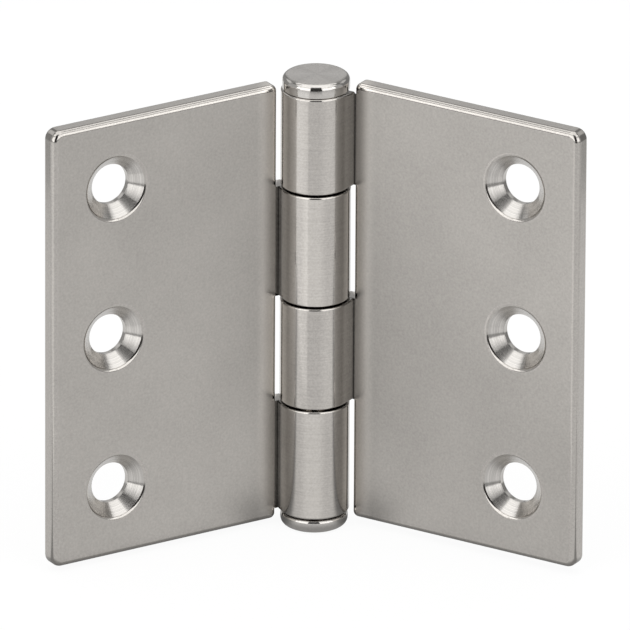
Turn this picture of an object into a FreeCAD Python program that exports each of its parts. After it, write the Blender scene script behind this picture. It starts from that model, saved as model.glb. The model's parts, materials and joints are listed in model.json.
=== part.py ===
import FreeCAD, Part
import math
import os

import Sketcher

# Heavy duty butt hinge with rolled knuckles, in millimetres.
# The pin's axis is Z. The origin is the centre of the lower cap's flat end.
# The leaves stand in a V that opens towards -Y, one towards +X and one towards -X.

SIZES = (
    # Knuckles from the top down; 1 and 3 are rolled from the right leaf, 2 and 4 from the left.
    ("knuckle_1", 21.9),
    ("knuckle_2", 25.15),
    ("knuckle_3", 23.25),
    ("knuckle_4", 24.9),
    ("knuckle_gap", 0.5),
    ("cap_gap", 0.4),
    # The right leaf's edges stand past the end knuckles by these steps; the left leaf sits lower.
    ("top_step", 1.3),
    ("bottom_step", 2.0),
    ("leaf_drop", 0.5),
    # Sheet and outline: the width runs from the pin's axis to the outer edge.
    ("leaf_width", 62.9),
    ("leaf_angle", 31.3),
    ("gauge", 4.0),
    ("corner_radius", 2.4),
    ("edge_round", 0.9),
    ("back_chamfer", 0.55),
    # Rolled curls: the tips and the slots' walls reach past the point where the round meets the leaf.
    ("right_tip_reach", 0.9),
    ("left_tip_reach", 0.45),
    ("slot_reach", 0.7),
    ("seam_gap", 0.12),
    ("rim_chamfer", 0.35),
    # The top knuckle's neck falls away to the back beside the leaf, and its curl's corner slopes down.
    ("notch_width", 4.0),
    ("notch_drop", 0.95),
    ("notch_fall", 2.2),
    ("tip_slope_run", 4.3),
    ("tip_slope_drop", 0.55),
    # Countersunk screw holes, three to a leaf; the middle one stands further out.
    ("hole_dia", 9.0),
    ("sink_dia", 14.6),
    ("sink_angle", 90.0),
    ("sink_lip", 0.45),
    ("hole_inset", 15.65),
    ("hole_rise", 0.15),
    ("hole_pitch", 34.3),
    ("hole_stagger", 0.6),
    # Pin with a turned head above and a pressed-on cap of the same form below.
    ("pin_dia", 7.0),
    ("pin_play", 0.05),
    ("pin_lead", 0.3),
    ("head_inset", 0.3),
    ("head_height", 3.15),
    ("head_round", 1.3),
    ("cap_chamfer", 1.0),
    ("head_rim_chamfer", 0.3),
    ("cap_rim_chamfer", 0.5),
    ("socket_depth", 2.0),
)

BORE_R = "(Sizes.pin_dia / 2 + Sizes.pin_play)"
BARREL_R = f"({BORE_R} + Sizes.gauge)"
HEAD_R = f"({BARREL_R} - Sizes.head_inset)"
ROUND_X = f"sqrt({BARREL_R}^2 - {BORE_R}^2)"
TIP_X = {1: f"({ROUND_X} + Sizes.right_tip_reach)", -1: f"({ROUND_X} + Sizes.left_tip_reach)"}
TIP_Y = f"({BORE_R} - Sizes.seam_gap)"
SLOT_X = f"({ROUND_X} + Sizes.slot_reach)"

# Heights up the pin, each knuckle stacked on the one below.
LOW_4 = "(Sizes.head_height + Sizes.cap_gap)"
TOP_4 = f"({LOW_4} + Sizes.knuckle_4)"
LOW_3 = f"({TOP_4} + Sizes.knuckle_gap)"
TOP_3 = f"({LOW_3} + Sizes.knuckle_3)"
LOW_2 = f"({TOP_3} + Sizes.knuckle_gap)"
TOP_2 = f"({LOW_2} + Sizes.knuckle_2)"
LOW_1 = f"({TOP_2} + Sizes.knuckle_gap)"
TOP_1 = f"({LOW_1} + Sizes.knuckle_1)"
PIN_TOP = f"({TOP_1} + Sizes.head_height)"
LEAF_TOP = f"({TOP_1} + Sizes.top_step)"
LEAF_LOW = f"({LOW_4} - Sizes.bottom_step)"
LEAF_HEIGHT = f"({LEAF_TOP} - {LEAF_LOW})"

CUT_PAST = 2.0
NEAR = 0.001

doc = FreeCAD.newDocument("hinge")
sheet = doc.addObject("Spreadsheet::Sheet", "Sizes")
for row, (alias, number) in enumerate(SIZES, start=1):
    sheet.set(f"A{row}", alias)
    sheet.set(f"B{row}", str(number))
    sheet.setAlias(f"B{row}", alias)
doc.recompute()


def size(expression):
    """The number that an expression on the sheet gives."""
    return float(sheet.evalExpression(expression))


def plane(body, role):
    """One of the body's own origin planes."""
    return next(item for item in body.Origin.OriginFeatures if item.Role == role)


def sketch_on(body, name, role, offset=None):
    """A sketch on an origin plane of the body, moved along its normal by an expression."""
    sketch = body.newObject("Sketcher::SketchObject", name)
    sketch.AttachmentSupport = [(plane(body, role), "")]
    sketch.MapMode = "FlatFace"
    if offset:
        sketch.setExpression("AttachmentOffset.Base.z", offset)
    return sketch


def line(sketch, start, end):
    """A straight edge between two points of the sketch's plane."""
    return sketch.addGeometry(Part.LineSegment(FreeCAD.Vector(*start, 0), FreeCAD.Vector(*end, 0)))


def arc(sketch, radius, first, last):
    """An arc about the sketch's origin, from one angle round to the other."""
    circle = Part.Circle(FreeCAD.Vector(0, 0, 0), FreeCAD.Vector(0, 0, 1), radius)
    index = sketch.addGeometry(Part.ArcOfCircle(circle, first, last))
    sketch.addConstraint(Sketcher.Constraint("Coincident", index, 3, -1, 1))
    return index


def bind(sketch, kind, *geometry, to):
    """A dimension of the sketch that follows an expression on the sheet."""
    index = sketch.addConstraint(Sketcher.Constraint(kind, *geometry, size(to)))
    sketch.setExpression(f"Constraints[{index}]", to)


def rectangle(sketch, left, right, low, high):
    """A closed rectangle whose four sides follow expressions."""
    corners = [(size(left), size(low)), (size(right), size(low)), (size(right), size(high)), (size(left), size(high))]
    sides = [line(sketch, corners[i], corners[(i + 1) % 4]) for i in range(4)]
    for i in range(4):
        sketch.addConstraint(Sketcher.Constraint("Coincident", sides[i], 2, sides[(i + 1) % 4], 1))
        sketch.addConstraint(Sketcher.Constraint("Horizontal" if i % 2 == 0 else "Vertical", sides[i]))
    bind(sketch, "DistanceX", -1, 1, sides[0], 1, to=left)
    bind(sketch, "DistanceX", -1, 1, sides[1], 1, to=right)
    bind(sketch, "DistanceY", -1, 1, sides[0], 1, to=low)
    bind(sketch, "DistanceY", -1, 1, sides[2], 1, to=high)


def edges(feature, test):
    """Names of the feature's edges whose ends and middle all pass a test."""
    found = []
    for number, edge in enumerate(feature.Shape.Edges, start=1):
        middle = edge.valueAt((edge.FirstParameter + edge.LastParameter) / 2)
        points = [vertex.Point for vertex in edge.Vertexes] + [middle]
        if all(test(point) for point in points):
            found.append(f"Edge{number}")
    return found


def fillet(body, name, test, radius):
    """Rounds the edges of the body that pass the test."""
    base = body.Tip
    rounding = body.newObject("PartDesign::Fillet", name)
    rounding.Base = (base, edges(base, test))
    rounding.setExpression("Radius", radius)
    doc.recompute()


def chamfer(body, name, test, width):
    """Bevels the edges of the body that pass the test."""
    base = body.Tip
    bevel = body.newObject("PartDesign::Chamfer", name)
    bevel.Base = (base, edges(base, test))
    bevel.setExpression("Size", width)
    doc.recompute()


def near_any(number, others):
    """Whether a number is one of the others, to within the tolerance."""
    return any(abs(number - other) < NEAR for other in others)


def on_ring(point, reach, level):
    """Whether a point lies on a circle about the pin's axis at a height."""
    return near_any(math.hypot(point.x, point.y), (reach,)) and near_any(point.z, (level,))


def check_cut(before, after):
    """A cut that removes nothing is an error."""
    if after.Shape.Volume > before.Shape.Volume - NEAR:
        raise RuntimeError(f"{after.Name} removed nothing")


def section(body, side, low):
    """Cross-section of a leaf: flat sheet behind the pin, rolled forward round it into a barrel."""
    bore, barrel = size(BORE_R), size(BARREL_R)
    width, tip_x, tip_y = size("Sizes.leaf_width"), size(TIP_X[side]), size(TIP_Y)
    # The barrel leaves its circle along the tangent that meets the curl's tip.
    leave = math.atan2(tip_y, tip_x) - math.acos(barrel / math.hypot(tip_x, tip_y))
    leave_at = (side * barrel * math.cos(leave), barrel * math.sin(leave))
    inner_end = math.asin(tip_y / bore)
    inner_at = (side * bore * math.cos(inner_end), tip_y)

    sketch = sketch_on(body, "section", "XY_Plane", low)
    back = line(sketch, (0, barrel), (side * width, barrel))
    front = line(sketch, (0, bore), (side * width, bore))
    outer_end = line(sketch, (side * width, bore), (side * width, barrel))
    quarter = math.pi / 2
    if side > 0:
        outside = arc(sketch, barrel, quarter, 2 * math.pi + leave)
        inside = arc(sketch, bore, quarter, 2 * math.pi + inner_end)
        rear, free = 1, 2
    else:
        outside = arc(sketch, barrel, math.pi - leave, 2 * math.pi + quarter)
        inside = arc(sketch, bore, math.pi - inner_end, 2 * math.pi + quarter)
        rear, free = 2, 1
    run_out = line(sketch, leave_at, (side * tip_x, tip_y))
    tip = line(sketch, (side * tip_x, tip_y), inner_at)

    for kind, *where in (
        ("Tangent", back, 1, outside, rear),
        ("Tangent", front, 1, inside, rear),
        ("Tangent", run_out, 1, outside, free),
        ("Coincident", run_out, 2, tip, 1),
        ("Coincident", tip, 2, inside, free),
        ("Coincident", front, 2, outer_end, 1),
        ("Coincident", back, 2, outer_end, 2),
        ("Horizontal", back),
        ("Horizontal", front),
        ("Horizontal", tip),
        ("Vertical", outer_end),
    ):
        sketch.addConstraint(Sketcher.Constraint(kind, *where))
    bind(sketch, "Radius", outside, to=BARREL_R)
    bind(sketch, "Radius", inside, to=BORE_R)
    bind(sketch, "DistanceX", -1, 1, outer_end, 1, to=f"{side} * Sizes.leaf_width")
    bind(sketch, "DistanceX", -1, 1, tip, 1, to=f"{side} * {TIP_X[side]}")
    bind(sketch, "DistanceY", -1, 1, tip, 1, to=TIP_Y)
    return sketch


def rolled_blank(body, side, low):
    """The sheet with its curl, as one long roll up the whole height of the leaf."""
    blank = body.newObject("PartDesign::Pad", "rolled_blank")
    blank.Profile = section(body, side, low)
    blank.setExpression("Length", LEAF_HEIGHT)
    doc.recompute()
    return blank


def clear_levels(body, name, side, reach, levels, offset=None):
    """Cuts away what lies between pairs of levels, from past the barrel to a reach along the leaf."""
    before = body.Tip
    outline = sketch_on(body, f"{name}_outline", "XZ_Plane", offset)
    past_barrel = f"{-side} * ({BARREL_R} + {CUT_PAST})"
    edge = f"{side} * {reach}"
    left, right = (past_barrel, edge) if side > 0 else (edge, past_barrel)
    for i in range(0, len(levels), 2):
        rectangle(outline, left, right, levels[i], levels[i + 1])
    cut = body.newObject("PartDesign::Pocket", name)
    cut.Profile = outline
    cut.Type = "ThroughAll"
    if offset:
        cut.Reversed = True
    else:
        cut.Midplane = True
    doc.recompute()
    check_cut(before, cut)


def knuckle_slots(body, side, low, top, knuckles):
    """Cuts the roll away above, between and below the leaf's own knuckles, and slots the sheet behind it."""
    levels = [f"{low} - {CUT_PAST}"]
    for knuckle_low, knuckle_top in knuckles:
        levels += [knuckle_low, knuckle_top]
    levels.append(f"{top} + {CUT_PAST}")
    clear_levels(body, "knuckle_slots", side, SLOT_X, levels)
    clear_levels(body, "roll_ends", side, f"({BARREL_R} + {CUT_PAST})", levels, f"-{BORE_R}")


def cut_slope(body, name, near, far, offset=None, length=None):
    """Cuts away what lies above a slope, seen along the leaf; each end of the slope is (across, up)."""
    before = body.Tip
    outline = sketch_on(body, f"{name}_outline", "YZ_Plane", offset)
    above = f"({TOP_1} + {CUT_PAST})"
    corners = [near, far, (far[0], above), (near[0], above)]
    places = [(size(across), size(up)) for across, up in corners]
    sides = [line(outline, places[i], places[(i + 1) % 4]) for i in range(4)]
    for i, (across, up) in enumerate(corners):
        outline.addConstraint(Sketcher.Constraint("Coincident", sides[i], 2, sides[(i + 1) % 4], 1))
        bind(outline, "DistanceX", -1, 1, sides[i], 1, to=across)
        bind(outline, "DistanceY", -1, 1, sides[i], 1, to=up)
    cut = body.newObject("PartDesign::Pocket", name)
    cut.Profile = outline
    cut.Reversed = True
    if length:
        cut.Type = "Length"
        cut.setExpression("Length", length)
    else:
        cut.Type = "ThroughAll"
    doc.recompute()
    check_cut(before, cut)


def top_knuckle_slopes(body):
    """Slopes the neck of the top knuckle down to the back, and the curl's corner down to its tip."""
    seam = f"({BORE_R} - Sizes.seam_gap / 2)"
    neck = (seam, f"({TOP_1} - Sizes.notch_drop)")
    fall = f"Sizes.notch_fall * (Sizes.gauge + {CUT_PAST}) / Sizes.gauge"
    behind = (f"({BARREL_R} + {CUT_PAST})", f"({TOP_1} - Sizes.notch_drop - {fall})")
    cut_slope(body, "neck_slope", neck, behind, f"({SLOT_X} - Sizes.notch_width)", "Sizes.notch_width")
    start = (f"({seam} - Sizes.tip_slope_run)", TOP_1)
    cut_slope(body, "tip_slope", start, (seam, f"({TOP_1} - Sizes.tip_slope_drop)"))


def sheet_edges(body, side, low, top):
    """Rounds the sheet's corners and its front edges, and bevels its back edges."""
    width, slot_x = size("Sizes.leaf_width"), size(SLOT_X)
    front, back = size(BORE_R), size(BARREL_R)
    ends = (size(low), size(top))

    def on_level(point):
        return near_any(point.z, ends)

    def outer_corner(point):
        return near_any(side * point.x, (width,)) and on_level(point)

    def on_sheet(point):
        return side * point.x > slot_x - NEAR

    def front_edge(point):
        slot_corner = near_any(side * point.x, (slot_x,)) and on_level(point)
        return on_sheet(point) and (near_any(point.y, (front,)) or slot_corner)

    def back_edge(point):
        return on_sheet(point) and near_any(point.y, (back,))

    fillet(body, "sheet_corners", outer_corner, "Sizes.corner_radius")
    fillet(body, "front_edges", front_edge, "Sizes.edge_round")
    chamfer(body, "back_edges", back_edge, "Sizes.back_chamfer")


def knuckle_rims(body, side, knuckles):
    """Breaks the outer rim at both ends of each knuckle."""
    slot_x, barrel = size(SLOT_X), size(BARREL_R)
    ends = [size(level) for knuckle in knuckles for level in knuckle]

    def rim(point):
        outside = math.hypot(point.x, point.y) > barrel - NEAR
        return near_any(point.z, ends) and outside and side * point.x < slot_x - NEAR

    chamfer(body, "knuckle_rims", rim, "Sizes.rim_chamfer")


def screw_holes(body, side, low):
    """Three countersunk holes, sunk from the inner face, each with a broken lip."""
    sheet_body = body.Tip
    front = size(BORE_R)
    centres = sketch_on(body, "hole_centres", "XZ_Plane", f"-{BORE_R}")
    places = []
    for step in (-1, 0, 1):
        stagger = "Sizes.hole_stagger" if step == 0 else "0"
        across = f"{side} * (Sizes.leaf_width - Sizes.hole_inset + {stagger})"
        up = f"{low} + {LEAF_HEIGHT} / 2 + Sizes.hole_rise + {step} * Sizes.hole_pitch"
        place = FreeCAD.Vector(size(across), size(up), 0)
        circle = Part.Circle(place, FreeCAD.Vector(0, 0, 1), size("Sizes.hole_dia") / 2)
        index = centres.addGeometry(circle)
        bind(centres, "Diameter", index, to="Sizes.hole_dia")
        bind(centres, "DistanceX", -1, 1, index, 3, to=across)
        bind(centres, "DistanceY", -1, 1, index, 3, to=up)
        places.append(place)
    doc.recompute()

    holes = body.newObject("PartDesign::Hole", "screw_holes")
    holes.Profile = centres
    holes.Threaded = False
    holes.DepthType = "ThroughAll"
    holes.HoleCutType = "Countersink"
    holes.HoleCutCustomValues = True
    holes.setExpression("Diameter", "Sizes.hole_dia")
    holes.setExpression("HoleCutDiameter", "Sizes.sink_dia")
    holes.setExpression("HoleCutCountersinkAngle", "Sizes.sink_angle * 1 deg")
    doc.recompute()
    check_cut(sheet_body, holes)

    sink = size("Sizes.sink_dia") / 2

    def sink_rim(point):
        reach = [math.hypot(point.x - place.x, point.z - place.y) for place in places]
        return near_any(point.y, (front,)) and near_any(sink, reach)

    chamfer(body, "sink_lips", sink_rim, "Sizes.sink_lip")


def leaf(name, side, drop, knuckles):
    """One leaf, made flat along X from one rolled sheet and then turned to its place in the V."""
    body = doc.addObject("PartDesign::Body", name)
    low = f"({LEAF_LOW} - {drop})"
    top = f"({LEAF_TOP} - {drop})"
    rolled_blank(body, side, low)
    knuckle_slots(body, side, low, top, knuckles)
    if side > 0:
        top_knuckle_slopes(body)
    sheet_edges(body, side, low, top)
    knuckle_rims(body, side, knuckles)
    screw_holes(body, side, low)
    body.Placement = FreeCAD.Placement(FreeCAD.Vector(0, 0, 0), FreeCAD.Rotation(FreeCAD.Vector(0, 0, 1), 1))
    body.setExpression("Placement.Rotation.Angle", f"{-side} * Sizes.leaf_angle * 1 deg")
    doc.recompute()
    return body


def turned(name, profile, rims):
    """A turned piece: half of its section is spun round the pin's axis, then its rims are dressed."""
    body = doc.addObject("PartDesign::Body", name)
    sketch = sketch_on(body, "half_section", "XZ_Plane")
    corners = [(size(across), size(up)) for across, up in profile]
    count = len(corners)
    sides = [line(sketch, corners[i], corners[(i + 1) % count]) for i in range(count)]
    for i in range(count):
        sketch.addConstraint(Sketcher.Constraint("Coincident", sides[i], 2, sides[(i + 1) % count], 1))
        bind(sketch, "DistanceX", -1, 1, sides[i], 1, to=profile[i][0])
        bind(sketch, "DistanceY", -1, 1, sides[i], 1, to=profile[i][1])
    spin = body.newObject("PartDesign::Revolution", "turning")
    spin.Profile = sketch
    spin.ReferenceAxis = (sketch, ["V_Axis"])
    spin.Angle = 360
    doc.recompute()
    for dress, rim_name, across, up, width in rims:
        reach, level = size(across), size(up)
        dress(body, rim_name, lambda point: on_ring(point, reach, level), width)
    return body


PIN_R = "(Sizes.pin_dia / 2)"
SOCKET_LOW = "(Sizes.head_height - Sizes.socket_depth)"
AXIS = "0"

right_leaf = leaf("right_leaf", 1, "0", [(LOW_3, TOP_3), (LOW_1, TOP_1)])
left_leaf = leaf("left_leaf", -1, "Sizes.leaf_drop", [(LOW_4, TOP_4), (LOW_2, TOP_2)])

# The pin hangs by its head on the top knuckle, and its lower end fills the cap's socket.
hinge_pin = turned(
    "hinge_pin",
    [
        (AXIS, SOCKET_LOW),
        (PIN_R, SOCKET_LOW),
        (PIN_R, TOP_1),
        (HEAD_R, TOP_1),
        (HEAD_R, PIN_TOP),
        (AXIS, PIN_TOP),
    ],
    [
        (fillet, "head_edge", HEAD_R, PIN_TOP, "Sizes.head_round"),
        (chamfer, "head_rim", HEAD_R, TOP_1, "Sizes.head_rim_chamfer"),
        (chamfer, "pin_lead", PIN_R, SOCKET_LOW, "Sizes.pin_lead"),
    ],
)
lower_pin_cap = turned(
    "lower_pin_cap",
    [
        (AXIS, "0"),
        (HEAD_R, "0"),
        (HEAD_R, "Sizes.head_height"),
        (PIN_R, "Sizes.head_height"),
        (PIN_R, SOCKET_LOW),
        (AXIS, SOCKET_LOW),
    ],
    [
        (chamfer, "cap_edge", HEAD_R, "0", "Sizes.cap_chamfer"),
        (chamfer, "cap_rim", HEAD_R, "Sizes.head_height", "Sizes.cap_rim_chamfer"),
    ],
)

doc.recompute()
pieces = (right_leaf, left_leaf, hinge_pin, lower_pin_cap)
for item in doc.Objects:
    if "Invalid" in item.State or "Error" in item.State:
        raise RuntimeError(f"{item.Name} failed: {item.State}")
for piece in pieces:
    if piece.Shape.isNull() or not piece.Shape.isValid() or len(piece.Shape.Solids) != 1:
        raise RuntimeError(f"{piece.Label} isn't one valid solid")

os.makedirs("parts", exist_ok=True)
for piece in pieces:
    piece.Shape.exportStep(f"parts/{piece.Label}.step")
    box = piece.Shape.BoundBox
    print(f"{piece.Label}: {piece.Shape.Volume:.1f} mm3, {box.XLength:.1f} x {box.YLength:.1f} x {box.ZLength:.1f} mm")
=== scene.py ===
import json
import math

import bpy
from bpy.props import FloatProperty, FloatVectorProperty, IntProperty, PointerProperty
from mathutils import Matrix, Vector


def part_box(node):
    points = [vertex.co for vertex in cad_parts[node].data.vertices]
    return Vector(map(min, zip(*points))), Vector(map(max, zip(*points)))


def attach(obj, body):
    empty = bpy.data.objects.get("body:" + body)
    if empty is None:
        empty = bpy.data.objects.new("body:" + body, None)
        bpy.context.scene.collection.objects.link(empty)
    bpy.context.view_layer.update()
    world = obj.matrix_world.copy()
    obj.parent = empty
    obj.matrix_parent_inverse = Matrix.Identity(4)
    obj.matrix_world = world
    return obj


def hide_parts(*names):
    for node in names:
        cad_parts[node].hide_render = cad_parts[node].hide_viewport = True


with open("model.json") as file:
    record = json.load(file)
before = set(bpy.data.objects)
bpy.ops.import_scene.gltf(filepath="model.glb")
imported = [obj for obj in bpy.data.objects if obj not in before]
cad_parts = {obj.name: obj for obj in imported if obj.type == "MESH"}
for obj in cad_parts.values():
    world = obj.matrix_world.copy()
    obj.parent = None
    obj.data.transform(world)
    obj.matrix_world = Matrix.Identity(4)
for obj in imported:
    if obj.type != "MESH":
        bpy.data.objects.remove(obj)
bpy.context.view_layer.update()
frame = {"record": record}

bl_info = {
    "name": "Heavy Butt Hinge",
    "version": (1, 0, 0),
    "blender": (4, 5, 0),
    "location": "3D View > Sidebar > Hinge",
    "description": "Builds a heavy butt hinge with rolled knuckles, and a plain studio round it",
    "category": "Object",
}

MM = 0.001
SENSOR_WIDTH = 36.0

# Places that the frame gives: the pin's head and cap, and the screw holes.
PIN_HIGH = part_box("hinge_pin")[1]
CAP_LOW, CAP_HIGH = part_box("lower_pin_cap")
MOUNTS = {mount["name"]: mount for mount in frame["record"]["mounts"]}
HOLE_LEVELS = ("low", "mid", "top")
LEAF_ANGLE = math.asin(-MOUNTS["right_hole_mid"]["axis"][0])

# How finely round forms are cut.
ROUND_STEPS = 8
CURL_STEP = math.radians(3.0)
NECK_STEPS = 10
SINK_RINGS = 6
HOLE_STEPS = 96
LATHE_STEPS = 128
MERGE_DISTANCE = 0.001 * MM

# The countersinks open at a right angle, and the faces' cells reach past them by a margin in millimetres.
SINK_SLOPE = math.radians(45.0)
CELL_MARGIN = 2.0

# A leaf's three materials, by their slots.
FLAT_FINISH, SUNK_FINISH, EDGE_FINISH = 0, 1, 2

# Patterns in the steel: their sizes in millimetres, and how strongly they tint it.
TUMBLED_GRAIN, GRAIN_TINT = 0.476, 0.34
TUMBLED_PATCH, PATCH_TINT = 16.7, 0.17
DIE_MARK, DIE_MARK_TINT = (8.3, 0.3125), 0.26
CUT_RING, CUT_RING_TINT = 0.154, 0.9
TURNED_GRAIN, TURNED_RING, TURNED_TINT = 2 / 3, 1 / 3, 0.20
# The countersinks' rings also change this often in a turn.
CUT_STREAKS = 1.5
# Waves that rolling leaves in the knuckles, and the knuckles' radius.
ROLLED_WAVE, WAVE_HEIGHT, BARREL_RADIUS = 4.55, 0.012, 7.5

# Steps in the sheet's finish and in its painted light and shade: start and end in millimetres, and the
# values before and after.
# From the pin's axis outwards: where the knuckle ends, and where a painted highlight on the sheet beside the
# knuckle fades into the flats' shade.
KNUCKLE_STEP = (8.3, 8.8, 1.0, 0.0)
BESIDE_KNUCKLE_HIGHLIGHT_STEP = (9.5, 13.5, 0.30)
# Painted shade in the corner beside the seam and on the knuckle's side of it, measured from that corner,
# which is placed across and along the leaf's front.
SEAM_CORNER = (8.1, -0.9)
SEAM_SHADE_STEP = (0.3, 1.0, -0.08, 0.0)
POCKET_SHADE_STEP = (0.5, 7.5, -0.42, 0.0)
# Painted reflection on the knuckles, by turn from the front, in radians: a band along their front, lighter
# on the left leaf's knuckles and darker on the right leaf's, and painted shade over their right side.
PAINTED_BAND_CENTRE, PAINTED_BAND_STEP = -0.05, (0.12, 0.42)
PAINTED_BAND_VALUES = {1: (-0.11, 0.0), -1: (0.13, -0.07)}
SIDE_SHADE_STEP = (0.45, 0.75, 0.0, -0.12)
# How far the flats of each leaf, and the edges, lie under the sheet's own colour: partly the duller tumbled
# finish and partly painted shade, which differs between the two leaves.
FLAT_SHADE = {1: -0.18, -1: -0.13}
EDGE_SHADE = -0.13
# Where the rougher finish of the head's flat top starts and is full, in millimetres under the top.
FACED_STEP = (0.2, 0.02)

# Steel cut by a tool spreads the light across the tool's marks.
TOOL_MARKED = {"Metallic": 1.0, "Anisotropic": 0.9, "Anisotropic Rotation": 0.25}
SMOOTH = {"interpolation_type": "SMOOTHSTEP"}
# Places of the colours among a mix node's sockets.
FIRST_COLOUR, SECOND_COLOUR, MIXED_COLOUR = 6, 7, 2

# Corners of the paper under the hinge, in metres.
PAPER = ((-0.25, -0.075), (0.25, -0.075), (0.25, 0.5), (-0.25, 0.5))
# Its painted shadow, seen only in the steel, beside the middle of the leaves' sheet and round the pin, as
# steps in millimetres.
SHEET_MIDDLE = 5.5
BESIDE_STEP = (2.0, 8.0, 0.3, 0.96)
ROUND_PIN_STEP = (8.0, 18.0, 0.45, 1.0)
# How much of the paper's white comes from its own glow, seen by the camera and in the steel.
SEEN_GLOW, MIRRORED_GLOW = 0.93, 0.85

# Panels of the studio round the hinge: azimuths from the front to the right, elevations, and brightness.
# Each one stands a little nearer than those before it, and hides them.
ROOM_RADIUS = 2.5
PANEL_GAP = 0.005
PANEL_FACET = 6.0
PANELS = (
    ("under the table", (-180, 180), (-90, -60), 0.75),
    ("table", (-180, 180), (-60, -30), 0.92),
    ("table edge", (-180, 180), (-30, -12), 1.00),
    ("horizon", (-180, 180), (-12, -4), 0.55),
    ("walls", (-180, 180), (-4, 60), 0.62),
    ("ceiling", (-180, 180), (60, 90), 1.80),
    ("left far edge", (-180, -142), (-32, -10), 0.50),
    ("right far edge", (142, 158), (-26, -10), 0.50),
    ("right table edge", (66, 112), (-30, -12), 0.80),
    ("left outer edge", (-135, -104), (-30, -12), 0.60),
    ("right outer edge", (112, 135), (-30, -12), 0.60),
    ("left dark edge", (-156, -140), (-30, -14), 0.04),
    ("right dark edge", (126, 140), (-30, -14), 0.04),
    ("back dark edge", (166, 194), (-27, -14), 0.04),
    ("left far wall", (-150, -106), (-12, 42), 0.40),
    ("right far wall", (98, 150), (-12, 42), 0.30),
    ("back horizon", (150, 210), (-12, 40), 0.33),
    ("back window", (162, 198), (12, 40), 0.78),
    ("left fill", (-142, -110), (25, 42), 1.00),
    ("right fill", (110, 142), (25, 42), 0.85),
    ("left sweep", (-71, -25), (-42, -14), 1.25),
    ("left window", (-56, -20), (-6, 38), 2.3),
    ("right window", (20, 56), (-2, 38), 2.2),
    ("front opening", (-20, 20), (-14, 46), 0.05),
    ("front ceiling edge", (-22, 22), (46, 57), 0.30),
    ("left skylight", (-92, -22), (44, 62), 1.9),
    ("right skylight", (22, 92), (44, 62), 1.9),
    ("back ceiling edge", (100, 260), (42, 57), 0.40),
    ("left beam", (-114, -98), (43, 66), 0.12),
    ("right beam", (98, 114), (43, 66), 0.12),
    ("left back skylight", (-162, -116), (54, 63), 1.70),
    ("right back skylight", (116, 162), (54, 63), 1.70),
    ("left edge light", (-68, -57), (4, 36), 2.50),
    ("right edge light", (57, 68), (4, 36), 2.50),
)


def linear(code):
    """Linear red, green and blue of a colour written as sRGB hex."""
    parts = [int(code[i : i + 2], 16) / 255 for i in (1, 3, 5)]
    return [part / 12.92 if part <= 0.04045 else ((part + 0.055) / 1.055) ** 2.4 for part in parts]


def length(name, description, millimetres):
    """A size of the hinge or its studio."""
    settings = {"default": millimetres * MM, "min": 0.0, "unit": "LENGTH", "precision": 5}
    return FloatProperty(name=name, description=description, **settings)


def colour(name, description, code):
    """A colour of the hinge or its stage."""
    settings = {"default": linear(code), "subtype": "COLOR", "size": 3}
    return FloatVectorProperty(name=name, description=description, **settings)


def roughness(name, description, default):
    """How dull a finish of the hinge is."""
    settings = {"default": default, "min": 0.0, "max": 1.0, "subtype": "FACTOR"}
    return FloatProperty(name=name, description=description, **settings)


class HingeSizes(bpy.types.PropertyGroup):
    """Driving sizes of the hinge."""

    gauge: length("Sheet gauge", "Thickness of the sheet that the leaves are rolled from", 4.0)
    leaf_width: length("Leaf width", "From the pin's axis to the leaf's outer edge", 62.9)
    corner_radius: length("Corner radius", "Radius of the leaf's outer corners", 2.4)
    front_round: length("Front edge", "Radius that the front edges are tumbled to", 1.3)
    back_round: length("Back edge", "Radius that the back edges are tumbled to", 0.8)
    slot_round: length("Slot edge", "Radius of the edges along the slots", 1.0)
    rim_round: length("Knuckle rim", "Radius at the ends of the knuckles", 0.4)
    neck_round: length("Neck edge", "Extra radius of the neck's back edges beside the slots", 0.8)
    notch_width: length("Notch width", "Sloped part of the top knuckle's neck, along the leaf", 4.0)
    notch_drop: length("Notch drop", "How far the slope starts below the knuckle's end", 0.95)
    notch_fall: length("Notch fall", "How far it falls through the sheet, towards the back", 2.2)
    tip_slope_run: length("Tip slope run", "Length of the sloped corner of the top curl", 4.3)
    tip_slope_drop: length("Tip slope drop", "Fall of the sloped corner of the top curl", 0.55)
    slot_reach: length("Slot reach", "From where the round meets the leaf to the slots' walls", 0.7)
    right_tip_reach: length("Right tip reach", "From there to the tips of the right leaf's curls", 0.9)
    left_tip_reach: length("Left tip reach", "From there to the tips of the left leaf's curls", 0.45)
    seam_gap: length("Seam gap", "Open seam under the curl's tip", 0.12)
    knuckles: FloatVectorProperty(
        name="Knuckles",
        description="Heights of the four knuckles, from the top down",
        default=(21.9 * MM, 25.15 * MM, 23.25 * MM, 24.9 * MM),
        size=4,
        unit="LENGTH",
        precision=5,
    )
    knuckle_gap: length("Knuckle gap", "Gap between two knuckles", 0.5)
    sink_radius: length("Countersink radius", "Radius of the countersinks at the leaf's face", 7.3)
    sink_round: length("Countersink lip", "Radius of the countersinks' lips", 1.15)
    pin_radius: length("Pin radius", "Radius of the pin's shaft", 3.5)
    pin_play: length("Pin play", "Gap between the pin and its bore", 0.05)
    head_height: length("Head height", "Height of the pin's head and of its lower cap", 3.15)
    head_round: length("Head edge", "Radius of the head's upper edge", 1.3)
    head_rim_round: length("Head rim", "Radius of the head's lower rim", 0.3)
    cap_round: length("Cap edge", "Radius of the cap's lower edge", 1.6)
    cap_rim_round: length("Cap rim", "Radius of the cap's upper rim", 0.75)
    socket_depth: length("Socket depth", "How far the pin reaches into its cap", 2.0)
    lathe_steps: IntProperty(
        name="Lathe steps", description="Facets round the turned pieces", default=LATHE_STEPS, min=16
    )


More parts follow.
